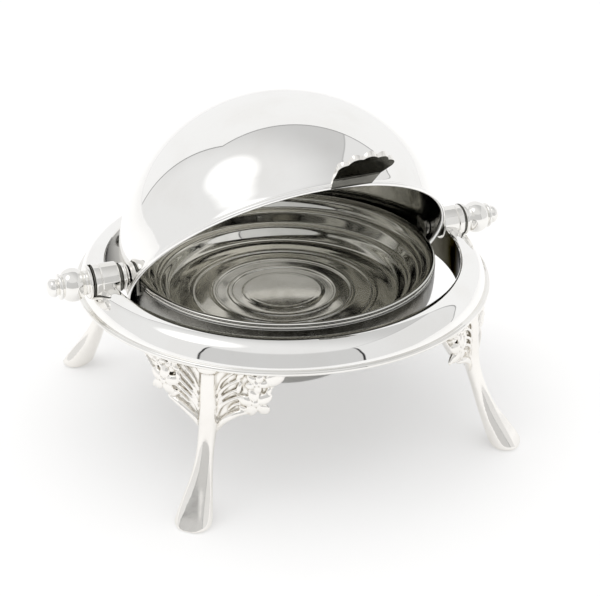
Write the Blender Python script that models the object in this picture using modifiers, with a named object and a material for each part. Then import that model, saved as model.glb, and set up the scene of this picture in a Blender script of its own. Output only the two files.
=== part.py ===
"""Roll-top chafing dish food warmer: ring frame, four cast legs, rolling dome lid and two pans.

The object stands on Z = 0 with the lid's hinge line along X. The front, where the lid opens, is -Y.
Dimensions below are in millimetres; everything is scaled to metres when a mesh is made.
"""

import math

import bmesh
import bpy
from mathutils import Matrix, Vector

MM = 0.001

# Frame
PIVOT_Z = 108.5
RING_STEPS = 40
RING_PROFILE = (
    (114.5, 107.2), (118.0, 106.4), (121.5, 103.5), (124.0, 99.0), (125.6, 94.5),
    (123.4, 94.5), (121.9, 99.2), (119.6, 102.6), (116.5, 104.6), (113.6, 104.6),
    (112.0, 103.0), (112.0, 88.0), (109.8, 88.0), (109.8, 105.2), (111.5, 106.7),
)
BEAD_RADIUS = 126.6
BEAD_THICK = 1.6
BEAD_Z = 92.6
NOTCH_RADIUS = 10.3

# Pivot hardware, as (radius, distance from the middle along the hinge line)
PIN_RADIUS = 3.0
BORE_RADIUS = 3.3
PIN_ENDS = (94.6, 120.8)
BARREL = ((9.2, 121.0), (10.0, 120.2), (10.0, 107.3), (9.2, 106.5))
BARREL_FOOT = ((112.6, 121.2), (-5.0, 5.0), (-16.5, -6.0))
OUTER_WASHER = ((7.0, 106.2), (7.0, 104.9))
INNER_WASHER = ((6.0, 98.0), (6.0, 96.3))
LID_HUB = ((7.4, 104.6), (8.3, 103.9), (8.3, 102.6), (5.8, 102.6), (5.8, 100.4))
FINIAL = (
    (0.0, 149.0), (3.2, 148.4), (5.3, 146.6), (5.6, 144.4), (4.6, 142.6), (7.4, 142.2),
    (7.7, 141.2), (7.0, 140.4), (8.8, 138.4), (9.9, 135.6), (10.0, 133.0), (9.2, 130.2),
    (7.7, 128.2), (7.2, 126.4), (8.6, 125.2), (10.0, 124.4), (10.0, 122.2), (9.2, 121.4), (0.0, 121.4),
)

# Lid, about the hinge line
LID_OPEN_DEGREES = 49.5
LID_RADIUS = 100.0
LID_HEIGHT = 90.5
LID_CENTRE_Z = 8.0
LID_POWER = 1.9
LID_WALL = 1.2
LID_LIP = (
    (99.8, -6.6), (100.4, -7.8), (101.3, -8.4), (101.7, -9.3), (101.3, -10.4),
    (100.2, -10.6), (99.2, -9.8), (98.6, -8.2), (98.6, -6.4),
)
HANDLE_X = 12.0
HANDLE_ROOT = (13.0, -102.0)
HANDLE_MIDDLE = (HANDLE_X + 3.0, -109.5)
HANDLE_RADIUS = 20.0
HANDLE_SPREAD_DEGREES = 76.0
HANDLE_Z = (-8.0, -5.6)
HANDLE_TAB = ((HANDLE_X - 6.6, HANDLE_X + 8.0), (-102.7, -100.7), (-6.2, 2.6))
RIVET_X = {"left": HANDLE_X - 3.2, "right": HANDLE_X + 3.2}
RIVET_Z = -1.0
RIVET_PROFILE = (
    (1.6, 104.4), (2.8, 103.6), (2.8, 103.0), (1.5, 103.0), (1.5, 96.4),
    (2.4, 96.4), (2.4, 95.9), (1.6, 95.6),
)

# Pan support and pans
HANGER_OUTLINE = ((96.0, 5.5), (94.3, 5.5), (94.3, -10.1), (89.8, -10.1), (89.8, -12.0), (96.0, -12.0))
HANGER_WIDTH = 10.0
HOOP_RADII = (89.9, 93.9)
HOOP_Z = (98.7, 102.2)
HOOP_RIVET_X = 91.9
WATER_PAN = (
    (93.4, 104.0), (93.9, 103.3), (93.4, 102.5), (89.5, 102.5), (88.9, 95.5), (85.5, 90.0), (80.5, 84.0),
    (77.5, 78.0), (72.5, 68.0), (64.0, 55.5), (52.0, 44.0), (37.0, 35.0), (19.0, 30.3), (0.0, 29.0),
    (0.0, 30.2), (18.8, 31.5), (36.4, 36.1), (51.2, 45.0), (63.0, 56.2), (71.4, 68.6),
    (76.4, 78.5), (79.4, 84.6), (84.3, 90.5), (87.7, 95.9), (88.3, 103.2), (88.9, 104.0),
)
FOOD_PAN = (
    (92.9, 105.8), (93.9, 105.2), (93.6, 104.4), (87.6, 104.4), (86.6, 97.5), (83.0, 92.5),
    (78.5, 86.5), (73.5, 80.0), (70.0, 78.6), (0.0, 78.6), (0.0, 80.0), (69.6, 80.0), (72.6, 81.0),
    (77.5, 87.3), (82.0, 93.2), (85.4, 98.0), (86.4, 105.0), (87.2, 105.8),
)

# Legs, at angle 0: radial distance, height, half width across, half depth along the radius
LEG_ANGLES = {"front_left": 228.0, "front_right": 318.0, "rear_right": 48.0, "rear_left": 138.0}
LEG_SECTIONS = (
    (119.5, 90.0, 8.0, 5.0), (119.8, 78.0, 8.2, 5.2), (121.0, 64.0, 6.8, 4.8), (123.2, 52.0, 5.2, 4.4),
    (127.4, 38.0, 5.0, 4.6), (133.2, 25.0, 6.6, 5.8), (140.0, 14.0, 8.8, 7.8), (145.6, 6.0, 10.6, 9.6),
    (148.0, 2.0, 11.0, 10.2), (148.4, 0.0, 10.4, 9.6),
)
LEG_SIDES = 14
APRON_RADII = (119.2, 124.4)
APRON_HALF_DEGREES = 21.5
APRON_TOP_Z = 93.9
APRON_LOW_Z = 62.0
TENON = ((113.0, 120.0), (-7.0, 7.0), (86.0, 101.0))
SCREW_Z = 96.0
SCREW_PROFILE = (
    (0.0, 115.6), (1.7, 115.6), (1.7, 109.4), (4.0, 109.4), (4.0, 107.6), (3.2, 106.9), (0.0, 106.9),
)


def clear_scene():
    for item in list(bpy.data.objects):
        bpy.data.objects.remove(item)


def new_collection(name):
    group = bpy.data.collections.new(name)
    bpy.context.scene.collection.children.link(group)
    return group


def new_material(name, colour, roughness, metallic=1.0):
    made = bpy.data.materials.new(name)
    made.use_nodes = True
    shader = made.node_tree.nodes["Principled BSDF"]
    shader.inputs["Base Color"].default_value = (*colour, 1.0)
    shader.inputs["Roughness"].default_value = roughness
    shader.inputs["Metallic"].default_value = metallic
    return made


def place(name, mesh, group, material=None, parent=None):
    made = bpy.data.objects.new(name, mesh)
    group.objects.link(made)
    if material:
        mesh.materials.append(material)
    if parent:
        made.parent = parent
    if group.name == "cutters":
        made.hide_render = True
        made.display_type = "WIRE"
    return made


def lathe(name, profile, group, material=None, parent=None, steps=24, loop=True):
    """A turned piece round local Z. The profile runs down the outer side and back up the inner side."""
    mesh = bpy.data.meshes.new(name)
    count = len(profile)
    edges = [(i, i + 1) for i in range(count - 1)]
    if loop:
        edges.append((count - 1, 0))
    mesh.from_pydata([(r * MM, 0.0, z * MM) for r, z in profile], edges, [])
    made = place(name, mesh, group, material, parent)
    turn = made.modifiers.new("turn", "SCREW")
    turn.steps = steps
    turn.render_steps = steps
    turn.use_merge_vertices = True
    turn.merge_threshold = 0.00001
    turn.use_smooth_shade = False
    return made


def on_hinge_line(made, side):
    """Turns a lathe so that its local Z runs outwards along the hinge line."""
    made.rotation_euler = (0.0, side * math.pi / 2, 0.0)
    return made


def bored(outer, radius):
    """A closed profile: the outer outline, with a straight bore of this radius."""
    return tuple(outer) + ((radius, outer[-1][1]), (radius, outer[0][1]))


def cylinder(name, radius, start, end, group, steps=16):
    profile = ((0.0, end), (radius, end), (radius, start), (0.0, start))
    return lathe(name, profile, group, steps=steps, loop=False)


def box(name, x, y, z, group, parent=None):
    mesh = bpy.data.meshes.new(name)
    cube = bmesh.new()
    bmesh.ops.create_cube(cube, size=1.0)
    size = Vector((x[1] - x[0], y[1] - y[0], z[1] - z[0])) * MM
    middle = Vector((x[1] + x[0], y[1] + y[0], z[1] + z[0])) * MM / 2
    matrix = Matrix.Translation(middle) @ Matrix.Diagonal((*size, 1.0))
    bmesh.ops.transform(cube, matrix=matrix, verts=cube.verts)
    cube.to_mesh(mesh)
    cube.free()
    return place(name, mesh, group, parent=parent)


def loft(name, sections, group, material=None, parent=None):
    """A closed body through rings of points that all have the same count, with flat ends."""
    count = len(sections[0])
    points = [point for ring in sections for point in ring]
    faces = [tuple(range(count))[::-1]]
    for level in range(len(sections) - 1):
        low = level * count
        for i in range(count):
            j = (i + 1) % count
            faces.append((low + i, low + j, low + count + j, low + count + i))
    faces.append(tuple(range(len(points) - count, len(points))))
    mesh = bpy.data.meshes.new(name)
    mesh.from_pydata([Vector(point) * MM for point in points], [], faces)
    solid = bmesh.new()
    solid.from_mesh(mesh)
    bmesh.ops.recalc_face_normals(solid, faces=solid.faces)
    solid.to_mesh(mesh)
    solid.free()
    return place(name, mesh, group, material, parent)


def combine(made, other, operation):
    step = made.modifiers.new(operation.lower() + "_" + other.name, "BOOLEAN")
    step.operation = operation
    step.solver = "EXACT"
    step.object = other


def baked(made):
    """The object's mesh with its modifiers applied."""
    bpy.context.view_layer.update()
    graph = bpy.context.evaluated_depsgraph_get()
    return bpy.data.meshes.new_from_object(made.evaluated_get(graph))


def build_frame(parts, cutters, silver, hinge):
    ring = lathe("frame_ring", RING_PROFILE, parts, silver, steps=RING_STEPS)
    notch = cylinder("barrel_notch", NOTCH_RADIUS, -140.0, 140.0, cutters, 24)
    notch.rotation_euler = (0.0, math.pi / 2, 0.0)
    notch.location = hinge
    combine(ring, notch, "DIFFERENCE")
    bead = [(BEAD_RADIUS + BEAD_THICK * math.cos(a), BEAD_Z + BEAD_THICK * math.sin(a))
            for a in (math.radians(90 - 60 * i) for i in range(6))]
    lathe("ring_bead", bead, parts, silver, steps=RING_STEPS)
    for index, degrees in enumerate((48.0, 138.0)):
        hole = cylinder(f"screw_hole_{index}", 2.1, -116.0, 116.0, cutters)
        hole.rotation_euler = (0.0, math.pi / 2, math.radians(degrees))
        hole.location = (0.0, 0.0, SCREW_Z * MM)
        combine(ring, hole, "DIFFERENCE")


def build_pivots(parts, cutters, silver, steel, hinge):
    bore = cylinder("barrel_bore", BORE_RADIUS, -130.0, 130.0, cutters)
    bore.rotation_euler = (0.0, math.pi / 2, 0.0)
    bore.location = hinge
    far, near = max(PIN_ENDS), min(PIN_ENDS)
    pin_profile = ((0.0, far), (PIN_RADIUS, far), (PIN_RADIUS, near), (0.0, near))
    for word, side in (("left", -1.0), ("right", 1.0)):
        solid = ((0.0, BARREL[0][1]),) + BARREL + ((0.0, BARREL[-1][1]),)
        barrel = lathe(f"pivot_barrel_{word}", solid, parts, silver, steps=28, loop=False)
        x, y, z = BARREL_FOOT
        foot = box(f"barrel_foot_{word}", sorted((side * x[0], side * x[1])), y, z, cutters)
        foot.location = hinge
        combine(barrel, foot, "UNION")
        combine(barrel, bore, "DIFFERENCE")
        pieces = (
            barrel,
            lathe(f"pivot_pin_{word}", pin_profile, parts, steel, steps=16, loop=False),
            lathe(f"outer_washer_{word}", bored(OUTER_WASHER, BORE_RADIUS), parts, steel),
            lathe(f"inner_washer_{word}", bored(INNER_WASHER, BORE_RADIUS), parts, steel),
            lathe(f"finial_{word}", FINIAL, parts, silver, loop=False),
        )
        for piece in pieces:
            on_hinge_line(piece, side)
            piece.location = hinge


def build_pan_support(parts, cutters, steel, hinge):
    hoop_profile = ((HOOP_RADII[1], HOOP_Z[1]), (HOOP_RADII[1], HOOP_Z[0]),
                    (HOOP_RADII[0], HOOP_Z[0]), (HOOP_RADII[0], HOOP_Z[1]))
    hoop = lathe("support_hoop", hoop_profile, parts, steel, steps=RING_STEPS)
    top, low = HOOP_Z[1], PIVOT_Z + HANGER_OUTLINE[4][1]
    rivet = ((0.0, top), (1.0, top), (1.0, low - 0.3), (2.0, low - 0.3), (2.0, low - 1.0), (0.0, low - 1.6))
    for word, side in (("left", -1.0), ("right", 1.0)):
        rings = [[(side * x, y, z) for x, z in HANGER_OUTLINE] for y in (-HANGER_WIDTH / 2, HANGER_WIDTH / 2)]
        hanger = loft(f"hanger_{word}", rings, parts, steel)
        hanger.location = hinge
        combine(hanger, bpy.data.objects["barrel_bore"], "DIFFERENCE")
        hole = cylinder(f"hoop_rivet_hole_{word}", 1.3, 90.0, 110.0, cutters, 12)
        hole.location = (side * HOOP_RIVET_X * MM, 0.0, 0.0)
        combine(hanger, hole, "DIFFERENCE")
        combine(hoop, hole, "DIFFERENCE")
        fixing = lathe(f"hoop_rivet_{word}", rivet, parts, steel, steps=12, loop=False)
        fixing.location = (side * HOOP_RIVET_X * MM, 0.0, 0.0)


def dome_points(radius, height, angles):
    """Points of a dome a little flatter than a ball, from the crown down."""
    points = []
    for degrees in angles:
        s = math.sin(math.radians(degrees))
        c = math.cos(math.radians(degrees))
        reach = ((s / radius) ** LID_POWER + (c / height) ** LID_POWER) ** (-1.0 / LID_POWER)
        points.append((reach * s, reach * c + LID_CENTRE_Z))
    return points


def build_lid(parts, cutters, silver, steel, lid_pivot):
    outer = dome_points(LID_RADIUS, LID_HEIGHT, [0, 6] + list(range(14, 87, 8)) + [90])
    outer[0] = (0.0, LID_HEIGHT + LID_CENTRE_Z)
    inner = dome_points(LID_RADIUS - LID_WALL, LID_HEIGHT - LID_WALL, [90] + list(range(86, 13, -8)) + [6, 0])
    inner[-1] = (0.0, LID_HEIGHT - LID_WALL + LID_CENTRE_Z)
    dome = lathe("lid_dome", outer + list(LID_LIP) + inner, parts, silver, lid_pivot, RING_STEPS, loop=False)
    bore = cylinder("lid_bore", BORE_RADIUS, -112.0, 112.0, cutters)
    bore.rotation_euler = (0.0, math.pi / 2, 0.0)
    bore.parent = lid_pivot
    combine(dome, bore, "DIFFERENCE")
    for word, side in (("left", -1.0), ("right", 1.0)):
        hub = lathe(f"lid_hub_{word}", bored(LID_HUB, BORE_RADIUS), parts, silver, lid_pivot)
        on_hinge_line(hub, side)
    handle = build_handle(parts, cutters, silver, lid_pivot)
    for word in ("left", "right"):
        hole = cylinder(f"rivet_hole_{word}", 1.8, 92.0, 108.0, cutters)
        rivet = lathe(f"handle_rivet_{word}", ((0.0, 104.4),) + RIVET_PROFILE + ((0.0, 95.6),),
                      parts, steel, lid_pivot, 12, loop=False)
        for piece in (hole, rivet):
            piece.parent = lid_pivot
            piece.rotation_euler = (math.pi / 2, 0.0, 0.0)
            piece.location = (RIVET_X[word] * MM, 0.0, RIVET_Z * MM)
        combine(dome, hole, "DIFFERENCE")
        combine(handle, hole, "DIFFERENCE")


def build_handle(parts, cutters, silver, lid_pivot):
    """A scalloped fan on a small tab that the rivets hold to the front of the dome."""
    half, root_y = HANDLE_ROOT
    middle_x, middle_y = HANDLE_MIDDLE
    outline = [(HANDLE_X + half, root_y), (HANDLE_X - half, root_y)]
    lobes = 5
    count = lobes * 4
    for i in range(count + 1):
        angle = math.radians(HANDLE_SPREAD_DEGREES) * (2.0 * i / count - 1.0)
        reach = HANDLE_RADIUS * (0.93 + 0.07 * abs(math.sin(math.pi * lobes * i / count)))
        outline.append((middle_x + reach * math.sin(angle), middle_y - reach * math.cos(angle)))
    rings = [[(x, y, z) for x, y in outline] for z in HANDLE_Z]
    handle = loft("lid_handle", rings, parts, silver, lid_pivot)
    tab = box("handle_tab", *HANDLE_TAB, cutters, lid_pivot)
    combine(handle, tab, "UNION")
    return handle


def leg_ring(radial, height, half_width, half_depth):
    points = []
    for i in range(LEG_SIDES):
        angle = 2.0 * math.pi * i / LEG_SIDES
        c = math.cos(angle)
        s = math.sin(angle)
        x = math.copysign(abs(c) ** 0.8, c) * half_depth
        y = math.copysign(abs(s) ** 0.8, s) * half_width
        points.append((radial + x, y, height))
    return points


def build_legs(parts, cutters, silver, steel):
    """One leg at angle 0 gives the mesh for all four."""
    leg = loft("leg_pattern", [leg_ring(*section) for section in LEG_SECTIONS], cutters)
    rings = []
    pieces = 12
    for i in range(pieces + 1):
        share = 2.0 * i / pieces - 1.0
        angle = math.radians(APRON_HALF_DEGREES) * share
        low = APRON_LOW_Z + 27.0 * abs(share) ** 1.8
        ring = [(APRON_RADII[0], APRON_TOP_Z), (APRON_RADII[1], APRON_TOP_Z),
                (APRON_RADII[1], low + 1.5), (APRON_RADII[1] - 1.5, low), (APRON_RADII[0], low)]
        rings.append([(r * math.cos(angle), r * math.sin(angle), z) for r, z in ring])
    combine(leg, loft("leg_apron", rings, cutters), "UNION")
    combine(leg, box("leg_tenon", *TENON, cutters), "UNION")
    hole = cylinder("leg_screw_hole", 2.1, 105.0, 116.0, cutters)
    hole.rotation_euler = (0.0, math.pi / 2, 0.0)
    hole.location = (0.0, 0.0, SCREW_Z * MM)
    combine(leg, hole, "DIFFERENCE")
    mesh = baked(leg)
    for word, degrees in LEG_ANGLES.items():
        copy = place(f"leg_{word}", mesh.copy(), parts, silver)
        copy.rotation_euler = (0.0, 0.0, math.radians(degrees))
        screw = lathe(f"leg_screw_{word}", SCREW_PROFILE, parts, steel, steps=12, loop=False)
        screw.rotation_euler = (0.0, math.pi / 2, math.radians(degrees))
        screw.location = (0.0, 0.0, SCREW_Z * MM)


def main():
    clear_scene()
    parts = new_collection("chafing_dish_food_warmer")
    cutters = new_collection("cutters")
    silver = new_material("silver_plate", (0.93, 0.91, 0.87), 0.08)
    pan_metal = new_material("pan_steel", (0.62, 0.60, 0.56), 0.18)
    steel = new_material("hardware_steel", (0.70, 0.69, 0.67), 0.25)
    hinge = Vector((0.0, 0.0, PIVOT_Z * MM))
    lid_pivot = place("lid_pivot", None, parts)
    lid_pivot.location = hinge
    lid_pivot.rotation_euler = (-math.radians(LID_OPEN_DEGREES), 0.0, 0.0)
    build_frame(parts, cutters, silver, hinge)
    build_pivots(parts, cutters, silver, steel, hinge)
    build_pan_support(parts, cutters, steel, hinge)
    build_lid(parts, cutters, silver, steel, lid_pivot)
    lathe("water_pan", WATER_PAN, parts, pan_metal, steps=RING_STEPS)
    lathe("food_pan", FOOD_PAN, parts, pan_metal, steps=RING_STEPS)
    build_legs(parts, cutters, silver, steel)


main()
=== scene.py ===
"""Looks of the roll-top chafing dish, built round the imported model."""

import math

import bmesh
import bpy
from mathutils import Matrix, Vector


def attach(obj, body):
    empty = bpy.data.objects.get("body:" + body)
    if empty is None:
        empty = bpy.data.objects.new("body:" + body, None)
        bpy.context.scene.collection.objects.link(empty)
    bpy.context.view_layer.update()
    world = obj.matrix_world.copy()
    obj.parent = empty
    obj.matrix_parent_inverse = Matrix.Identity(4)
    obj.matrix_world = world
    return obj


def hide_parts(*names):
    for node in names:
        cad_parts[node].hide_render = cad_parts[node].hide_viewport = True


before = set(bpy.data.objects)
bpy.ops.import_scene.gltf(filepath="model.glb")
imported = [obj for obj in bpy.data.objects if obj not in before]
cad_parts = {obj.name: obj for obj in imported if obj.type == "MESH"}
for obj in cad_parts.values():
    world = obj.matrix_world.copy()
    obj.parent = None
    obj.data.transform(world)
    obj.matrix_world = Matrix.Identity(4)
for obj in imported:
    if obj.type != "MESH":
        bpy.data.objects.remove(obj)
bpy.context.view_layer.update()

MM = 0.001
# Lengths below are in millimetres and are scaled by MM
PIVOT_Z = 108.5
LID_OPEN = math.radians(49.5)
LID = Matrix.Translation((0.0, 0.0, PIVOT_Z * MM)) @ Matrix.Rotation(-LID_OPEN, 4, "X")
LID_RADIUS = 100.0
LID_HEIGHT = 90.5
LID_CENTRE_Z = 8.0
LID_WALL = 1.2
LID_POWER = 1.9
HANDLE_X = 12.0
CASTING_RADIUS = 121.0
CASTING_ARC = 122.0
LEG_ANGLES = {"front_left": 228.0, "front_right": 318.0, "rear_right": 48.0, "rear_left": 138.0}


# ---------------------------------------------------------------- materials

class Nodes:
    """A short way to wire shader nodes."""

    def __init__(self, tree):
        self.tree = tree

    def add(self, kind, **values):
        node = self.tree.nodes.new(kind)
        for key, value in values.items():
            setattr(node, key, value)
        return node

    def link(self, source, target):
        self.tree.links.new(source, target)

    def math(self, operation, first, second=None):
        node = self.add("ShaderNodeMath", operation=operation)
        for socket, value in zip(node.inputs, (first, second)):
            if value is None:
                continue
            if isinstance(value, (int, float)):
                socket.default_value = value
            else:
                self.link(value, socket)
        return node.outputs[0]

    def span(self, value, low, high, to_low=0.0, to_high=1.0, smooth=True):
        """Map value from low..high to to_low..to_high, eased unless smooth is False."""
        node = self.add("ShaderNodeMapRange", interpolation_type="SMOOTHSTEP" if smooth else "LINEAR")
        self.link(value, node.inputs["Value"])
        ends = (("From Min", low), ("From Max", high), ("To Min", to_low), ("To Max", to_high))
        for name, number in ends:
            node.inputs[name].default_value = number
        return node.outputs["Result"]

    def mix(self, factor, first, second):
        node = self.add("ShaderNodeMix", data_type="RGBA")
        self.link(factor, node.inputs["Factor"])
        for socket, value in ((node.inputs["A"], first), (node.inputs["B"], second)):
            if isinstance(value, tuple):
                socket.default_value = (*value, 1.0)
            else:
                self.link(value, socket)
        return node.outputs["Result"]

    def noise(self, vector, scale, detail=3.0, dimensions="3D"):
        node = self.add("ShaderNodeTexNoise", noise_dimensions=dimensions)
        self.link(vector, node.inputs["W" if dimensions == "1D" else "Vector"])
        node.inputs["Scale"].default_value = scale
        node.inputs["Detail"].default_value = detail
        return node.outputs[0]


FAINT_PATCHES = 0.12


def metal(name, colour, shade, rough, wave=0.0, wave_scale=14.0, spun=0.0, grain=0.0, crevice=0.0,
          edge_tint=1.0, drift=None):
    """A polished metal.

    shade is the colour it drifts to in patches and crevices, rough the lowest and highest roughness,
    wave a slow unevenness of the sheet, spun the fine rings left by the lathe, and grain a fine casting skin,
    the last three as depths in mm. crevice is how strongly hollows take the shade, a painted shade in the
    creases, and edge_tint how bright the metal stays at a glancing angle. drift is (axis, from, to, colour):
    a slow change to another colour along one axis of the dish, in metres, which paints light and shade
    that change across the dish.
    """
    made = bpy.data.materials.new(name)
    made.use_nodes = True
    nodes = Nodes(made.node_tree)
    shader = made.node_tree.nodes["Principled BSDF"]
    shader.inputs["Metallic"].default_value = 1.0
    shader.inputs["Specular Tint"].default_value = (edge_tint, edge_tint, edge_tint, 1.0)
    place = nodes.add("ShaderNodeTexCoord").outputs["Object"]
    patches = nodes.noise(place, 38.0, 4.0)
    tone = nodes.span(patches, 0.42, 0.72)
    if crevice:
        # Hollows take the shade colour: painted shade in the creases
        edge = nodes.add("ShaderNodeNewGeometry").outputs["Pointiness"]
        hollow = nodes.span(edge, 0.462, 0.5, crevice, 0.0)
        tone = nodes.math("MAXIMUM", nodes.math("MULTIPLY", tone, FAINT_PATCHES), hollow)
    tint = nodes.mix(tone, colour, shade)
    # drift paints light and shade that change across the dish
    if drift:
        axes = nodes.add("ShaderNodeSeparateXYZ")
        nodes.link(place, axes.inputs[0])
        tint = nodes.mix(nodes.span(axes.outputs[drift[0]], drift[1], drift[2]), tint, drift[3])
    nodes.link(tint, shader.inputs["Base Color"])
    streak = nodes.noise(place, 160.0, 5.0)
    nodes.link(nodes.span(streak, 0.35, 0.7, rough[0], rough[1], False), shader.inputs["Roughness"])
    normal = None
    steps = []
    if wave:
        steps.append((nodes.noise(place, wave_scale, 1.0), wave))
    if grain:
        steps.append((nodes.noise(place, 520.0, 4.0), grain))
    if spun:
        flat = nodes.add("ShaderNodeVectorMath", operation="MULTIPLY")
        nodes.link(place, flat.inputs[0])
        flat.inputs[1].default_value = (1.0, 1.0, 0.0)
        reach = nodes.add("ShaderNodeVectorMath", operation="LENGTH")
        nodes.link(flat.outputs[0], reach.inputs[0])
        steps.append((nodes.noise(reach.outputs["Value"], 900.0, 4.0, "1D"), spun))
    for height, depth in steps:
        bump = nodes.add("ShaderNodeBump")
        bump.inputs["Strength"].default_value = 1.0
        bump.inputs["Distance"].default_value = depth * MM
        nodes.link(height, bump.inputs["Height"])
        if normal:
            nodes.link(normal, bump.inputs["Normal"])
        normal = bump.outputs["Normal"]
    if normal:
        nodes.link(normal, shader.inputs["Normal"])
    return made


PLATE = metal("silver_sheet", (0.955, 0.95, 0.935), (0.93, 0.92, 0.90), (0.02, 0.05), wave=0.07)
# The lid's inside is a darker copy of the silver: painted shade
INNER = metal("silver_inside", (0.64, 0.63, 0.595), (0.56, 0.55, 0.51), (0.07, 0.14), wave=0.2)
# Darker metals for the faces that look into the shade between lid, pans and ring
SHADED = metal("silver_shaded", (0.21, 0.207, 0.187), (0.13, 0.128, 0.115), (0.10, 0.2), edge_tint=0.2)
# ring_inside: the ring's inner wall painted in shade, lighter toward -X, a painted reflection there
RING_INSIDE = metal("ring_inside", (0.15, 0.145, 0.125), (0.10, 0.096, 0.083), (0.08, 0.16), edge_tint=0.2,
                    drift=("X", -0.03, -0.10, (0.80, 0.79, 0.76)))
# pan_outside: the bowl's outer wall painted in shade, lighter toward its bottom, painted light there
OUTSIDE = metal("pan_outside", (0.26, 0.255, 0.235), (0.20, 0.195, 0.18), (0.10, 0.2), wave=0.2,
                edge_tint=0.5, drift=("Z", 0.075, 0.045, (0.74, 0.73, 0.70)))
TURNED = metal("silver_turned", (0.92, 0.91, 0.885), (0.86, 0.845, 0.81), (0.03, 0.07), wave=0.02,
               wave_scale=60.0)
# silver_cast: its hollows darken toward the shade colour, a painted shade in the creases
CAST = metal("silver_cast", (0.93, 0.91, 0.875), (0.56, 0.53, 0.47), (0.08, 0.12), grain=0.003,
             crevice=0.9)
# The pan darkens toward +X: painted shade over its own steel colour
PAN = metal("pan_steel", (0.84, 0.83, 0.79), (0.74, 0.73, 0.69), (0.05, 0.12), wave=0.25, spun=0.002,
            drift=("X", -0.01, 0.07, (0.60, 0.60, 0.565)))
STEEL = metal("fixing_steel", (0.36, 0.355, 0.335), (0.28, 0.275, 0.26), (0.16, 0.30), grain=0.006,
              edge_tint=0.5)


# ---------------------------------------------------------------- shapes

def smooth_line(points, per=6, closed=False):
    """A Catmull-Rom curve through the points. A point given twice is a sharp corner."""
    points = [tuple(point) for point in points]
    count = len(points)
    made = []
    last = count if closed else count - 1
    for i in range(last):
        b, c = points[i], points[(i + 1) % count]
        if b == c:
            continue
        a = points[i - 1] if closed or i > 0 else b
        d = points[(i + 2) % count] if closed or i + 2 < count else c
        for step in range(per):
            t = step / per
            made.append(tuple(
                0.5 * (2 * q + (r - p) * t + (2 * p - 5 * q + 4 * r - s) * t * t
                       + (3 * q - p - 3 * r + s) * t ** 3)
                for p, q, r, s in zip(a, b, c, d)))
    if not closed:
        made.append(points[-1])
    return made


def finish_mesh(name, verts, faces, material, matrix=None, smooth=True, sharp=None):
    """An object at the origin from points in mm. matrix is applied to the mesh itself."""
    mesh = bpy.data.meshes.new(name)
    mesh.from_pydata([Vector(v) * MM for v in verts], [], faces)
    solid = bmesh.new()
    solid.from_mesh(mesh)
    bmesh.ops.recalc_face_normals(solid, faces=solid.faces)
    solid.to_mesh(mesh)
    solid.free()
    mesh.shade_smooth() if smooth else mesh.shade_flat()
    if sharp:
        mesh.set_sharp_from_angle(angle=math.radians(sharp))
    mesh.materials.append(material)
    if matrix is not None:
        mesh.transform(matrix)
    made = bpy.data.objects.new(name, mesh)
    bpy.context.scene.collection.objects.link(made)
    return made


def lathe(name, profile, material, steps=96, closed=True, matrix=None, sharp=40.0):
    """A turned solid round local Z from (radius, height) points.

    A point with radius 0 becomes one vertex. closed joins the last point to the first.
    """
    verts = []
    rings = []
    for radius, height in profile:
        if abs(radius) < 1e-6:
            rings.append([len(verts)] * steps)
            verts.append((0.0, 0.0, height))
            continue
        rings.append(list(range(len(verts), len(verts) + steps)))
        for i in range(steps):
            angle = 2.0 * math.pi * i / steps
            verts.append((radius * math.cos(angle), radius * math.sin(angle), height))
    faces = []
    pairs = list(zip(rings, rings[1:]))
    if closed:
        pairs.append((rings[-1], rings[0]))
    for low, high in pairs:
        for i in range(steps):
            j = (i + 1) % steps
            face = []
            for index in (low[i], low[j], high[j], high[i]):
                if index not in face:
                    face.append(index)
            if len(face) > 2:
                faces.append(face)
    return finish_mesh(name, verts, faces, material, matrix, sharp=sharp)


def hinge_matrix(side, base=None):
    """Local Z to the outward direction of the hinge line."""
    base = base or Matrix.Translation((0.0, 0.0, PIVOT_Z * MM))
    return base @ Matrix.Rotation(side * math.pi / 2, 4, "Y")


def declare(piece, body, slot, *nodes):
    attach(piece, body)
    if nodes:
        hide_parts(*nodes)
    return piece


# ---------------------------------------------------------------- lid

def dome_reach(degrees, radius, height):
    """A point of the dome's outline, degrees down from the crown."""
    s = math.sin(math.radians(degrees))
    c = math.cos(math.radians(degrees))
    reach = ((abs(s) / radius) ** LID_POWER + (abs(c) / height) ** LID_POWER) ** (-1.0 / LID_POWER)
    return reach * s, reach * c + LID_CENTRE_Z


def build_dome():
    steps = 288
    slices = 60
    slice_angle = 90.0 / slices
    crown = LID_HEIGHT + LID_CENTRE_Z
    outer = [(0.0, crown)]
    outer += [dome_reach(slice_angle * i, LID_RADIUS, LID_HEIGHT) for i in range(1, slices + 1)]
    lip = smooth_line([(100.0, 8.0), (100.0, 4.0), (99.9, -2.0), (99.8, -5.8), (100.1, -7.2),
                       (101.0, -8.0), (101.7, -9.0), (101.5, -10.1), (100.5, -10.7), (99.5, -10.2),
                       (98.8, -9.0), (98.6, -6.0), (98.7, -2.0), (98.8, 4.0), (98.8, 8.0)], 6)
    inside_of_lip = 25
    inner = [dome_reach(90.0 - slice_angle * i, LID_RADIUS - LID_WALL, LID_HEIGHT - LID_WALL)
             for i in range(1, slices)]
    inner.append((0.0, crown - LID_WALL))
    dome = lathe("dome", outer + lip[1:] + inner, PLATE, steps, False, LID, sharp=None)
    # The inside of the lid takes the darker silver_inside: painted shade
    dome.data.materials.append(INNER)
    first_inner = (len(outer) + len(lip) - inside_of_lip) * steps
    for face in dome.data.polygons:
        if min(face.vertices) >= first_inner:
            face.material_index = 1
    return declare(dome, "lid", "silver_plate", "lid_dome")


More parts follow.
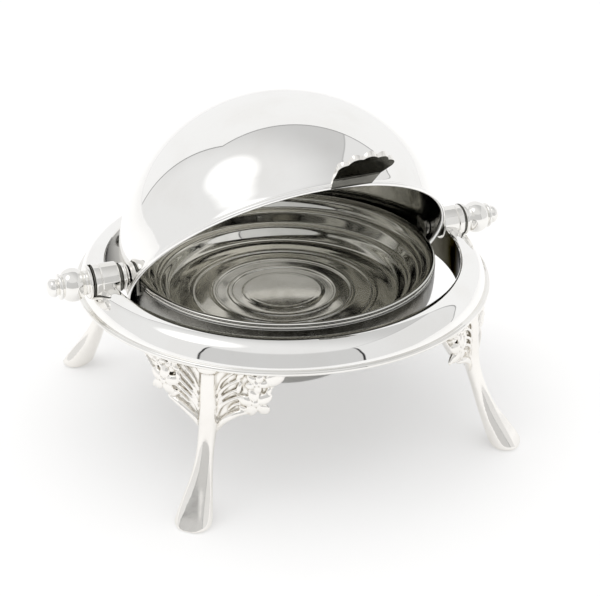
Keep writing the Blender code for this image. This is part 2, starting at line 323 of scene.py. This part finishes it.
def build_hubs():
    profile = smooth_line([(3.3, 104.6), (3.3, 104.6), (7.0, 104.6), (8.0, 104.1), (8.4, 103.2),
                           (8.2, 102.2), (7.2, 101.4), (6.6, 100.4), (6.6, 100.4), (3.3, 100.4),
                           (3.3, 100.4)], 5)
    for word, side in (("left", -1.0), ("right", 1.0)):
        hub = lathe("hub_" + word, profile, TURNED, 64, True, hinge_matrix(side, LID))
        declare(hub, "lid", "silver_plate", "lid_hub_" + word)


def build_handle():
    """A cast shell: flat underneath, five rounded lobes at the rim, on a tab that follows the dome."""
    lobes = 5
    across = 100
    along = 22
    middle_x = HANDLE_X + 4.6
    root_y = -101.0
    rim_y = -109.3
    spread = math.radians(72.0)

    def surface(share, t, top):
        """share runs from -1 to 1 across the shell, t from 0 at the root to 1 at the rim."""
        lobe = abs(math.sin(math.pi * lobes * (share + 1.0) / 2.0))
        reach = 17.6 + 1.8 * lobe
        angle = spread * share
        root_x = HANDLE_X - 0.3 + 12.6 * share
        x = root_x + (middle_x + reach * math.sin(angle) - root_x) * t
        y = root_y + (rim_y - reach * math.cos(angle) - root_y) * t
        low = -8.3 + 0.03 * (root_y - y) - 2.4 * max(0.0, 1.0 - (root_y - y) / 6.5)
        if not top:
            return x, y, low
        return x, y, low + 1.6 + (0.6 + 1.2 * lobe) * t

    verts = []
    for top in (True, False):
        for row in range(along + 1):
            for column in range(across + 1):
                share = 2.0 * column / across - 1.0
                t = 1.0 - (1.0 - row / along) ** 1.4
                verts.append(surface(share, t, top))
    width = across + 1
    layer = width * (along + 1)
    faces = []
    for row in range(along):
        for column in range(across):
            a = row * width + column
            faces.append((a, a + 1, a + 1 + width, a + width))
    for row in range(along):
        for column in range(across):
            b = row * width + column + layer
            faces.append((b, b + width, b + 1 + width, b + 1))
    edge = [(row * width, (row + 1) * width) for row in range(along)]
    edge += [(along * width + column, along * width + column + 1) for column in range(across)]
    edge += [((row + 1) * width + across, row * width + across) for row in range(along)]
    edge += [(column + 1, column) for column in range(across)]
    for a, b in edge:
        faces.append((a, b, b + layer, a + layer))
    handle = finish_mesh("thumb_piece", verts, faces, CAST, LID)
    # The underside takes the dark shaded metal: painted shade under the thumb piece
    handle.data.materials.append(SHADED)
    for face in handle.data.polygons:
        if min(face.vertices) >= layer:
            face.material_index = 1
    bevel = handle.modifiers.new("rim", "BEVEL")
    bevel.width = 0.6 * MM
    bevel.segments = 3
    bevel.limit_method = "ANGLE"
    bevel.angle_limit = math.radians(55)
    tab = build_tab()
    declare(handle, "lid", "silver_plate", "lid_handle")
    declare(tab, "lid", "silver_plate")


def build_tab():
    """The tab that follows the lid's wall and carries the thumb piece."""
    verts = []
    columns = 24
    rows = 15
    gap = 0.25
    thickness = 1.5
    for layer in (0, 1):
        for row in range(rows + 1):
            for column in range(columns + 1):
                share = 2.0 * column / columns - 1.0
                z = -6.0 + 9.0 * row / rows
                half = 6.8 * math.sqrt(max(0.0, 1.0 - max(0.0, (z + 1.0) / 4.2) ** 2.4))
                x = HANDLE_X + half * share
                out = LID_RADIUS + gap + thickness * layer
                y = -math.sqrt(max(0.0, out * out - x * x)) - 0.05 * max(0.0, z)
                verts.append((x, y, z))
    width = columns + 1
    size = width * (rows + 1)
    faces = []
    for row in range(rows):
        for column in range(columns):
            a = row * width + column
            faces.append((a, a + width, a + width + 1, a + 1))
            faces.append((a + size, a + 1 + size, a + width + 1 + size, a + width + size))
    ring = [column for column in range(columns)] + [row * width + columns for row in range(rows)]
    ring += [rows * width + columns - column for column in range(columns)]
    ring += [(rows - row) * width for row in range(rows)]
    for i, a in enumerate(ring):
        b = ring[(i + 1) % len(ring)]
        faces.append((a, b, b + size, a + size))
    return finish_mesh("thumb_tab", verts, faces, CAST, LID, sharp=40)


# ---------------------------------------------------------------- ring and pivots

def build_ring():
    inner_line = 122.5 * MM
    profile = smooth_line([(109.8, 82.5), (109.8, 82.5), (109.6, 103.4), (109.7, 106.0), (111.2, 107.4),
                           (114.6, 107.6), (118.0, 106.3), (121.2, 103.8), (123.5, 100.2), (124.9, 96.6),
                           (125.7, 93.6), (125.7, 93.6), (123.7, 93.6), (123.7, 93.6), (122.0, 99.2),
                           (119.7, 102.5), (116.5, 104.6), (113.6, 104.6), (112.0, 103.0), (111.4, 82.5),
                           (111.4, 82.5)], 7)
    ring = lathe("ring", profile, PLATE, 288, True)
    # Faces that look inward or down take the dark ring_inside metal: painted shade
    ring.data.materials.append(RING_INSIDE)
    for face in ring.data.polygons:
        reach = math.hypot(face.center.x, face.center.y)
        outward = (face.normal.x * face.center.x + face.normal.y * face.center.y) / reach
        facing_shade = outward < -0.5 or face.normal.z < -0.3
        if reach < inner_line and face.normal.z < 0.3 and facing_shade:
            face.material_index = 1
    declare(ring, "frame", "silver_plate", "frame_ring")
    bead_radius = 1.55
    bead_sides = 20
    turns = [2.0 * math.pi * i / bead_sides for i in range(bead_sides)]
    bead = [(126.6 + bead_radius * math.cos(a), 92.6 + bead_radius * math.sin(a)) for a in turns]
    declare(lathe("ring_edge", bead, TURNED, 240, True), "frame", "silver_plate", "ring_bead")


# Profiles of the pieces on the hinge line: radius, and distance from the middle of the dish
BARREL = ((3.3, 121.5), (3.3, 121.5), (9.4, 121.5), (9.9, 121.1), (10.0, 120.4), (10.0, 118.2), (10.0, 118.2),
          (9.5, 117.7), (9.5, 117.3), (10.0, 116.8), (10.0, 116.8), (10.0, 108.4), (9.8, 107.2), (8.8, 106.5),
          (3.3, 106.5), (3.3, 106.5))
FINIAL = ((0.0, 149.2), (1.8, 149.0), (3.9, 148.2), (5.3, 146.6), (5.6, 145.0), (5.0, 143.5), (4.5, 142.7),
          (4.5, 142.7), (7.0, 142.5), (7.7, 141.9), (7.8, 141.2), (7.4, 140.5), (6.9, 140.1), (6.9, 140.1),
          (8.3, 138.9), (9.5, 136.8), (10.05, 134.2), (9.9, 131.6), (8.9, 129.3), (7.7, 127.8), (7.2, 126.5),
          (7.4, 125.7), (7.4, 125.7), (9.2, 125.4), (10.0, 124.9), (10.1, 124.2), (9.9, 123.3), (9.2, 122.8),
          (9.2, 122.8), (0.0, 122.8))
WASHER = ((3.3, 106.2), (3.3, 106.2), (8.0, 106.2), (8.4, 105.9), (8.4, 105.2), (8.0, 104.9), (3.3, 104.9),
          (3.3, 104.9))
# A thin dark disc that fills the seam between barrel and finial: painted shade
SEAM_SHADE = ((3.3, 122.7), (3.3, 122.7), (9.7, 122.7), (9.9, 122.4), (9.9, 121.9), (9.7, 121.6), (3.3, 121.6),
          (3.3, 121.6))


def build_pivots():
    for word, side in (("left", -1.0), ("right", 1.0)):
        matrix = hinge_matrix(side)
        barrel = lathe("barrel_" + word, smooth_line(BARREL, 5), TURNED, 72, True, matrix)
        declare(barrel, "frame", "silver_plate", "pivot_barrel_" + word)
        declare(build_gusset(word, side), "frame", "silver_plate")
        finial = lathe("finial_turned_" + word, smooth_line(FINIAL, 5), TURNED, 72, False, matrix)
        declare(finial, "frame", "silver_plate", "finial_" + word)
        # The outer washer takes the shaded metal: painted shade in the seam between barrel and hub
        washer = lathe("washer_turned_" + word, smooth_line(WASHER, 3), SHADED, 48, True, matrix)
        declare(washer, "frame", "hardware_steel", "outer_washer_" + word)
        # A dark disc in the shaded metal fills the seam between barrel and finial: painted shade
        seam_shade = lathe("gasket_" + word, smooth_line(SEAM_SHADE, 3), SHADED, 72, True, matrix)
        declare(seam_shade, "frame", "hardware_steel")


def build_gusset(word, side):
    """The solder fillet that carries the barrel on the ring, wider at its foot."""
    rows = []
    levels = 8
    for level in range(levels + 1):
        t = level / levels
        half = 8.6 + 4.2 * t ** 1.8
        z = PIVOT_Z - 3.5 - 9.5 * t
        low, high = 110.9 + 0.3 * t, 119.6 + 3.2 * t
        rows.append([(side * low, -half, z), (side * high, -half * 0.93, z),
                     (side * high, half * 0.93, z), (side * low, half, z)])
    verts = [v for row in rows for v in row]
    faces = [(0, 1, 2, 3), tuple(range(len(verts) - 4, len(verts)))]
    for level in range(levels):
        for i in range(4):
            a, b = level * 4 + i, level * 4 + (i + 1) % 4
            faces.append((a, b, b + 4, a + 4))
    gusset = finish_mesh("gusset_" + word, verts, faces, TURNED, sharp=50)
    round_off = gusset.modifiers.new("round", "BEVEL")
    round_off.width = 0.8 * MM
    round_off.segments = 3
    round_off.limit_method = "ANGLE"
    return gusset


# ---------------------------------------------------------------- pans

PAN_STEPS = 240
HOOP_LOW = 98.7
FOOD_TOP = ((93.9, 104.7), (93.8, 105.6), (92.9, 106.1), (91.6, 105.9), (90.0, 105.0), (88.4, 103.6),
            (87.2, 101.2), (86.5, 98.9), (85.6, 97.9), (84.0, 97.4), (82.6, 96.4), (80.8, 93.2), (79.4, 90.8),
            (78.2, 90.0), (76.6, 89.6), (75.4, 88.4), (73.6, 84.2), (71.8, 81.6), (69.4, 80.5), (64.0, 80.3),
            (59.6, 80.3), (58.6, 81.0), (57.2, 81.2), (55.8, 80.9), (55.0, 80.1), (50.0, 79.9), (45.4, 80.0),
            (44.6, 80.8), (43.4, 81.2), (42.2, 80.8), (41.4, 80.0), (35.2, 79.8), (34.4, 80.5), (33.2, 80.9),
            (32.0, 80.6), (31.2, 79.8), (26.8, 79.6), (25.6, 79.9), (24.6, 80.7), (23.4, 81.0), (22.2, 81.0),
            (20.0, 81.1), (10.0, 81.2), (0.0, 81.2))
WATER_RIM = ((89.6, 103.4), (90.6, 103.8), (92.2, 104.0), (93.5, 103.9), (94.0, 103.3), (93.6, 102.7),
             (92.0, 102.5), (90.2, 102.5), (89.4, 101.6))
WATER_WALL = ((88.9, 95.5), (85.5, 90.0), (80.5, 84.0), (77.5, 78.0), (72.5, 68.0), (64.0, 55.5),
              (52.0, 44.0), (37.0, 35.0), (19.0, 30.3), (0.0, 29.0))
HOOP = ((89.9, HOOP_LOW), (89.9, 102.2), (93.6, 102.2), (93.9, 101.9), (93.9, 95.0), (93.5, 90.0),
        (92.7, 86.0), (91.5, 86.0), (92.3, 90.0), (92.6, 95.0), (92.6, HOOP_LOW))


def build_food_pan():
    """The rim is hollow underneath; below it the wall is a sheet."""
    sheet = 1.25
    rim_points = 36
    top = smooth_line(FOOD_TOP, 5)
    under = [(max(0.0, r - 0.25), z - sheet) for r, z in reversed(top[rim_points:])]
    rim = smooth_line([(88.6, 102.6), (91.4, 104.3), (93.2, 104.2)], 4)
    pan = lathe("food_dish", top + under + rim, PAN, PAN_STEPS, True, sharp=None)
    declare(pan, "food_pan", "pan_steel", "food_pan")


def build_water_pan():
    sheet = 1.15
    rim_points = 50
    outer = smooth_line(WATER_RIM + WATER_WALL, 6)
    inner = []
    for r, z in reversed(outer[rim_points:]):
        share = r / 90.0
        inner.append((r - sheet * r / 90.0, z + sheet * (1.0 - share) + 0.05))
    pan = lathe("water_bowl", outer + inner + [(88.3, 102.4)], PAN, PAN_STEPS, False, sharp=None)
    # The bowl's outer wall below the hoop takes the dark pan_outside metal: painted shade
    pan.data.materials.append(OUTSIDE)
    for face in pan.data.polygons:
        if max(face.vertices) < len(outer) * PAN_STEPS and face.center.z < HOOP_LOW * MM:
            face.material_index = 1
    declare(pan, "water_pan", "pan_steel", "water_pan")


def build_pans():
    build_food_pan()
    hoop = lathe("hoop_band", HOOP, STEEL, PAN_STEPS, True)
    declare(hoop, "frame", "hardware_steel", "support_hoop")
    build_water_pan()


# ---------------------------------------------------------------- legs

def arc_point(v, z, lift):
    """A point on the leg's casting: v along the ring, z up, lift out from its backing plate."""
    angle = v / CASTING_ARC
    radius = CASTING_RADIUS + lift
    return Vector((radius * math.cos(angle), radius * math.sin(angle), z))


def add_blob(solid, centre, size, tilt, normal_turn=0.0):
    """An ellipsoid on the casting.

    size is half its length, width and thickness; tilt turns it in the face of the casting.
    """
    place = Matrix.Translation(arc_point(*centre)) @ Matrix.Rotation(centre[0] / CASTING_ARC, 4, "Z")
    turn = Matrix.Rotation(tilt, 4, "X") @ Matrix.Rotation(normal_turn, 4, "Z")
    scale = Matrix.Diagonal((size[2], size[0], size[1], 1.0))
    bmesh.ops.create_icosphere(solid, subdivisions=3, radius=1.0, matrix=place @ turn @ scale)


def add_flower(solid, v, z, lift, radius, turn):
    petals = 5
    reach = radius * 0.58
    for i in range(petals):
        angle = turn + 2.0 * math.pi * i / petals
        add_blob(solid, (v + reach * math.cos(angle), z + reach * math.sin(angle), lift + 0.3),
                 (radius * 0.44, radius * 0.33, 1.7), angle, 0.28)
    add_blob(solid, (v, z, lift + 0.8), (radius * 0.24, radius * 0.24, 1.9), 0.0)


def add_rod(solid, points, thick):
    """A tapering curved ridge along (v, z, lift) points."""
    ends = 0.45
    line = smooth_line(points, 8)
    for i, point in enumerate(line):
        t = i / (len(line) - 1)
        size = thick * (ends + (1.0 - ends) * math.sin(math.pi * min(1.0, max(0.0, t))) ** 0.6)
        place = Matrix.Translation(arc_point(*point))
        bmesh.ops.create_icosphere(solid, subdivisions=2, radius=size, matrix=place)


def add_loft(solid, sections):
    """A closed skin over rings of points with equal counts."""
    rings = [[solid.verts.new(point) for point in ring] for ring in sections]
    count = len(rings[0])
    for low, high in zip(rings, rings[1:]):
        for i in range(count):
            j = (i + 1) % count
            solid.faces.new((low[i], low[j], high[j], high[i]))
    solid.faces.new(rings[0][::-1])
    solid.faces.new(rings[-1])


# Column and foot: distance from the middle, height, half width, half depth, and how much of the depth is
# left where the front is cut flat
STEM = ((120.4, 93.8, 6.6, 5.8, 1.0), (120.6, 90.4, 7.0, 6.2, 1.0), (120.5, 88.0, 6.6, 6.0, 1.0),
        (120.0, 86.4, 5.2, 4.8, 1.0), (120.0, 82.0, 5.0, 5.0, 1.0), (120.4, 74.0, 5.1, 5.3, 1.0),
        (121.2, 64.0, 5.3, 5.3, 1.0), (122.4, 56.0, 5.4, 5.0, 1.0), (124.4, 48.0, 5.3, 4.7, 1.0),
        (127.2, 40.0, 5.1, 4.6, 1.0), (130.8, 31.0, 5.6, 5.2, 1.0), (135.2, 22.0, 7.0, 6.4, 0.95),
        (140.4, 13.5, 8.9, 8.2, 0.86), (144.4, 7.0, 10.3, 9.6, 0.81), (146.6, 3.2, 10.9, 10.0, 0.80),
        (147.6, 1.4, 10.7, 9.4, 0.86), (147.9, 0.5, 9.8, 8.6, 0.95), (148.0, 0.0, 8.6, 7.6, 1.0))


def stem_ring(radial, height, half_width, half_depth, flat):
    """One section of the column, squarish at the top and round from below the casting."""
    points = []
    sides = 72
    power = 1.0 - 0.14 * min(1.0, max(0.0, (height - 44.0) / 12.0))
    for i in range(sides):
        angle = 2.0 * math.pi * i / sides
        c, s = math.cos(angle), math.sin(angle)
        x = math.copysign(abs(c) ** power, c) * half_depth
        y = math.copysign(abs(s) ** power, s) * half_width
        points.append(Vector((radial + min(x, half_depth * flat), y, height)))
    return points


def apron_low(v):
    """The casting's lower edge: out of the stem, level under the flowers, then up to a tip."""
    a = abs(v)
    if a < 24.0:
        return 50.0 + 15.0 * (a / 24.0) ** 0.75
    return 65.0 + 26.5 * ((a - 24.0) / 22.0) ** 1.15


# Ridges that spring from the column on both sides: thickness, then (v, z, lift) points
RIDGES = ((2.3, ((5.0, 50.0, 1.0), (9.5, 57.5, 2.2), (17.0, 63.2, 2.4), (25.0, 65.5, 1.4))),
          (1.2, ((5.0, 59.0, 1.6), (8.6, 67.6, 2.6), (15.5, 73.0, 2.6), (20.5, 74.0, 1.8))),
          (1.1, ((5.2, 63.5, 1.6), (8.8, 72.0, 2.8), (15.0, 77.6, 2.8), (20.0, 79.0, 1.8))),
          (1.1, ((5.4, 68.5, 1.6), (8.8, 77.0, 2.8), (14.6, 83.0, 2.8), (19.5, 85.0, 1.8))),
          (1.0, ((5.4, 74.0, 1.6), (8.6, 82.6, 2.6), (13.4, 88.0, 2.6), (17.5, 90.5, 1.6))),
          (1.0, ((12.0, 64.5, 1.6), (16.0, 69.0, 2.4), (21.0, 70.4, 2.0))))
# Flowers: v, z, lift, radius, turn
FLOWERS = ((28.0, 72.0, 2.6, 10.2, 0.5), (28.5, 84.4, 2.4, 7.2, 1.1), (-27.0, 76.0, 2.6, 10.0, 0.2),
           (-21.5, 87.0, 2.2, 5.2, 0.8), (-31.0, 86.6, 1.8, 5.0, 0.3))
# The leaf at each end of the casting: centre, size, tilt
END_LEAVES = (((38.2, 87.0, 1.6), (6.6, 4.4, 2.2), 0.55), ((42.6, 90.0, 1.4), (4.6, 2.4, 1.8), 0.5),
              ((-39.0, 89.0, 1.2), (6.4, 2.2, 1.9), -0.62))
# Small leaves that fill in: v, z, tilt
SMALL_LEAVES = ((19.5, 88.0, 0.9), (22.0, 66.5, -0.3), (-20.5, 68.5, 0.5), (-34.0, 71.5, 1.0),
                (35.0, 78.0, 1.3), (-18.0, 80.0, 1.9), (18.5, 79.5, 1.3))


def apron_sections():
    """Cross sections of the backing plate, from one end of the casting to the other."""
    half_span = 46.0
    count = 60
    top = 93.6
    sections = []
    for i in range(count + 1):
        v = 2.0 * half_span * i / count - half_span
        low = min(apron_low(v), 91.0)
        back = -1.6 - 1.4 * max(0.0, 1.0 - abs(v) / 18.0)
        ring = []
        for r, z in ((back, top), (2.6, top), (3.0, 92.0), (2.0, 90.0), (1.2, 88.0),
                     (1.2, low + 3.2), (2.4, low + 1.6), (1.6, low), (back, low)):
            ring.append(arc_point(v, min(z, top) if z > low else low + 0.2 * r, r))
        sections.append(ring)
    return sections


def build_leg_mesh():
    solid = bmesh.new()
    add_loft(solid, [stem_ring(*row) for row in smooth_line(STEM, 5)])
    add_loft(solid, apron_sections())
    for side in (-1.0, 1.0):
        for thick, points in RIDGES:
            add_rod(solid, [(side * v, z, lift) for v, z, lift in points], thick)
    for flower in FLOWERS:
        add_flower(solid, *flower)
    for centre, size, tilt in END_LEAVES:
        add_blob(solid, centre, size, tilt)
    for v, z, tilt in SMALL_LEAVES:
        add_blob(solid, (v, z, 1.8), (4.0, 1.7, 1.4), tilt)
    bmesh.ops.recalc_face_normals(solid, faces=solid.faces)
    mesh = bpy.data.meshes.new("leg_rough")
    solid.to_mesh(mesh)
    solid.free()
    mesh.transform(Matrix.Scale(MM, 4))
    rough = bpy.data.objects.new("leg_rough", mesh)
    bpy.context.scene.collection.objects.link(rough)
    fuse = rough.modifiers.new("fuse", "REMESH")
    fuse.mode = "VOXEL"
    fuse.voxel_size = 0.5 * MM
    fuse.use_smooth_shade = True
    soften = rough.modifiers.new("soften", "SMOOTH")
    soften.factor = 0.5
    soften.iterations = 3
    graph = bpy.context.evaluated_depsgraph_get()
    made = bpy.data.meshes.new_from_object(rough.evaluated_get(graph))
    bpy.data.objects.remove(rough)
    for vert in made.vertices:
        vert.co.z = max(0.0, vert.co.z)
    made.shade_smooth()
    made.materials.clear()
    made.materials.append(CAST)
    return made


def build_legs():
    """Four copies of one casting, each turned in its mesh so that its object stays at the origin."""
    mesh = build_leg_mesh()
    for word, degrees in LEG_ANGLES.items():
        turned = mesh.copy()
        turned.transform(Matrix.Rotation(math.radians(degrees), 4, "Z"))
        leg = bpy.data.objects.new("cast_leg_" + word, turned)
        bpy.context.scene.collection.objects.link(leg)
        declare(leg, "frame", "silver_plate", "leg_" + word)


# ---------------------------------------------------------------- room

def build_world():
    """A white tent: bright behind and to the right, grey overhead and in front, one soft window on the left.

    Azimuth 0 is the front, -Y, and grows toward +X. Each lay() covers what was laid before it.
    """
    world = bpy.data.worlds.new("tent")
    bpy.context.scene.world = world
    world.use_nodes = True
    nodes = Nodes(world.node_tree)
    direction = nodes.add("ShaderNodeTexCoord").outputs["Generated"]
    split = nodes.add("ShaderNodeSeparateXYZ")
    nodes.link(direction, split.inputs[0])
    x, y, z = split.outputs
    degree = 180.0 / math.pi
    azimuth = nodes.math("ARCTAN2", x, nodes.math("MULTIPLY", y, -1.0))
    azimuth = nodes.math("MULTIPLY", azimuth, degree)
    height = nodes.math("MULTIPLY", nodes.math("ARCSINE", z), degree)

    def toward(*way):
        dot = nodes.add("ShaderNodeVectorMath", operation="DOT_PRODUCT")
        nodes.link(direction, dot.inputs[0])
        dot.inputs[1].default_value = way
        return dot.outputs["Value"]

    def lay(mask, value):
        nonlocal level
        mixed = nodes.add("ShaderNodeMix", data_type="FLOAT")
        nodes.link(mask, mixed.inputs["Factor"])
        nodes.link(level, mixed.inputs["A"])
        mixed.inputs["B"].default_value = value
        level = mixed.outputs["Result"]

    def above(value, low, high):
        return nodes.span(value, low, high)

    def below(value, low, high):
        return nodes.span(value, low, high, 1.0, 0.0)

    def times(first, second):
        return nodes.math("MULTIPLY", first, second)

    # Overhead grey, lighter toward the front left, and a pale band above the horizon
    level = nodes.span(toward(0.85, 0.55, 0.0), -0.25, 0.5, 0.84, 0.61)
    lay(below(height, 8.0, 22.0), 0.84)
    # The tent's right side and its back, each with a darker seam along its edge
    side = toward(0.776, -0.192, -0.601)
    lay(times(above(side, -0.022, -0.012), below(side, -0.006, 0.002)), 0.50)
    lay(above(side, -0.006, 0.002), 0.80)
    rear = nodes.math("MINIMUM", toward(0.181, 0.845, -0.504), toward(0.848, 0.530, 0.0))
    rear = nodes.math("SUBTRACT", rear, 0.03)
    lay(times(above(rear, -0.026, -0.016), below(rear, -0.008, 0.0)), 0.36)
    lay(above(rear, -0.008, 0.0), 0.94)
    # The front wall of the tent, with a dark seam at either end
    front_azimuth = -22.5
    away = nodes.math("ABSOLUTE", nodes.math("SUBTRACT", azimuth, front_azimuth))
    lay(times(below(away, 43.0, 44.0), below(height, 34.0, 42.0)), 0.64)
    seam = times(above(away, 42.6, 43.2), below(away, 43.9, 44.6))
    lay(times(seam, below(height, 30.0, 44.0)), 0.04)
    # A round soft window high on the left
    window = toward(*Vector((-0.541, 0.029, 0.839)).normalized())
    outer_edge, inner_edge = (math.cos(math.radians(angle)) for angle in (21.0, 8.0))
    lay(above(window, outer_edge, inner_edge), 1.4)
    lay(below(height, -1.0, 0.0), 0.90)
    # Matt surfaces get a little more light than mirrors show, and the camera sees plain white
    path = nodes.add("ShaderNodeLightPath")
    matt_gain = 1.24
    level = times(level, nodes.span(path.outputs["Is Diffuse Ray"], 0.0, 1.0, 1.0, matt_gain, False))
    lay(path.outputs["Is Camera Ray"], 1.0)
    background = world.node_tree.nodes["Background"]
    nodes.link(level, background.inputs["Color"])
    background.inputs["Strength"].default_value = 1.0


def build_floor():
    """White paper that glows a little, so that the shadow under the dish stays light."""
    half = 6000.0
    below_feet = -0.05
    corners = [(x, y, below_feet) for x, y in ((-half, -half), (half, -half), (half, half), (-half, half))]
    paper = bpy.data.materials.new("paper")
    floor = finish_mesh("floor", corners, [(0, 1, 2, 3)], paper, smooth=False)
    paper.use_nodes = True
    shader = paper.node_tree.nodes["Principled BSDF"]
    shader.inputs["Base Color"].default_value = (0.60, 0.598, 0.596, 1.0)
    shader.inputs["Emission Color"].default_value = (1.0, 0.995, 0.99, 1.0)
    shader.inputs["Emission Strength"].default_value = 0.36
    shader.inputs["Roughness"].default_value = 0.9
    shader.inputs["Specular IOR Level"].default_value = 0.1


def build_lights():
    """Two large soft lamps that mirrors don't show. Places and sizes are in metres."""
    lamps = (("key", (-0.25, 0.15, 1.4), 1.6, 4.0), ("fill", (0.35, -0.5, 1.3), 1.6, 1.5))
    for name, spot, size, power in lamps:
        light = bpy.data.lights.new(name, "AREA")
        light.size = size
        light.energy = power
        lamp = bpy.data.objects.new(name, light)
        bpy.context.scene.collection.objects.link(lamp)
        lamp.location = spot
        lamp.rotation_euler = (-Vector(spot)).to_track_quat("-Z", "Y").to_euler()
        lamp.visible_glossy = False
        lamp.visible_camera = False


def build_camera():
    """The photographer's place, in front and to the left, looking down on the dish."""
    azimuth, elevation, roll = (math.radians(value) for value in (-22.56, 27.21, 0.51))
    target = Vector((0.0, 0.0, 108.55))
    distance = 987.14
    aside, lower = 10.44, 30.22
    focal_pixels = 1598.03
    frame_width = 600
    sensor = 36.0
    back = Vector((math.sin(azimuth) * math.cos(elevation), -math.cos(azimuth) * math.cos(elevation),
                   math.sin(elevation)))
    right = Vector((0.0, 0.0, 1.0)).cross(back).normalized()
    up = back.cross(right)
    turned_right = right * math.cos(roll) + up * math.sin(roll)
    turned_up = up * math.cos(roll) - right * math.sin(roll)
    spot = target + back * distance + turned_right * aside - turned_up * lower
    camera = bpy.data.objects.new("camera", bpy.data.cameras.new("camera"))
    bpy.context.scene.collection.objects.link(camera)
    turn = Matrix((turned_right, turned_up, back)).transposed().to_4x4()
    camera.matrix_world = Matrix.Translation(spot * MM) @ turn
    camera.data.sensor_width = sensor
    camera.data.lens = sensor * focal_pixels / frame_width
    camera.data.clip_start = 0.01
    camera.data.clip_end = 30.0
    bpy.context.scene.camera = camera


def finish_fixings():
    """Pins, inner washers, hangers, rivets and screws keep their solids and take a metal finish."""
    kept = ("pivot_pin", "inner_washer", "hanger", "hoop_rivet", "leg_screw", "handle_rivet")
    for name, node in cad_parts.items():
        if name.startswith(kept):
            node.data.materials.clear()
            node.data.materials.append(TURNED if name.startswith("handle_rivet") else STEEL)


def main():
    build_camera()
    build_world()
    build_floor()
    build_lights()
    build_dome()
    build_hubs()
    build_handle()
    build_ring()
    build_pivots()
    build_pans()
    build_legs()
    finish_fixings()
    bpy.context.scene.view_settings.view_transform = "Standard"


main()
